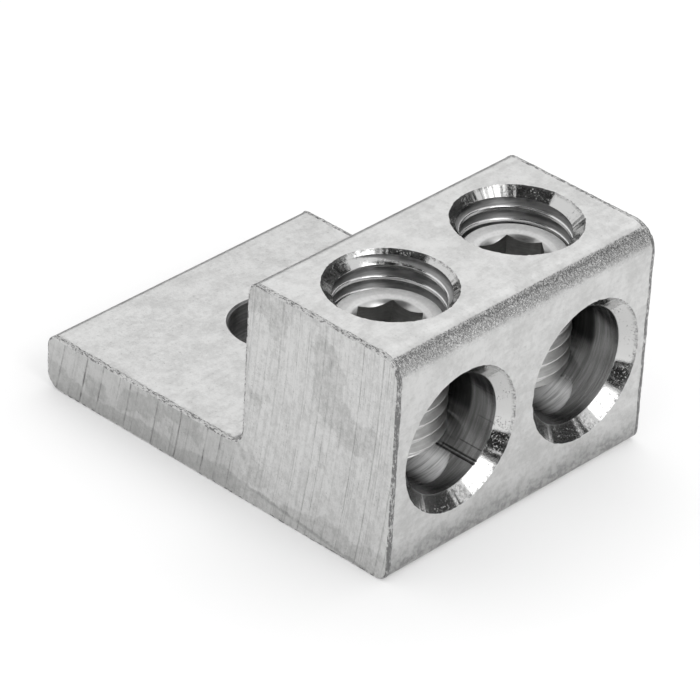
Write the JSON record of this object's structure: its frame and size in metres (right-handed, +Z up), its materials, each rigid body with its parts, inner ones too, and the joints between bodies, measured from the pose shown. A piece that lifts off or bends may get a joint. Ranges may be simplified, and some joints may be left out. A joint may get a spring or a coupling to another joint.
{
  "type": "dual conductor lug",
  "caption": "Mechanical terminal lug: an L-shaped metal block that clamps wires side by side under set screws and bolts down by its tongue.",
  "frame": {"origin": "on the stud hole's axis, at the seat face under the tongue", "axes": "+Z up from the seat face along the stud hole, +Y from the wire entries towards the tongue's end, +X along the extruded bar, to the right when the wire entries are seen from the front"},
  "size_m": [0.0324, 0.0415, 0.022],
  "materials": {
    "plated_bar": "satin tin plate over extruded bar",
    "plated_screw": "satin tin plate, machined"
  },
  "bodies": {
    "lug": {"lug_body": "plated_bar"},
    "left_screw": {"set_screw_left": "plated_screw"},
    "right_screw": {"set_screw_right": "plated_screw"}
  },
  "joints": [
    {"name": "left_screw_travel", "type": "slide", "parent": "lug", "child": "left_screw", "axis": [0, 0, 1], "range_m": [0, 0.01016]},
    {"name": "right_screw_travel", "type": "slide", "parent": "lug", "child": "right_screw", "axis": [0, 0, 1], "range_m": [0, 0.01016]}
  ]
}
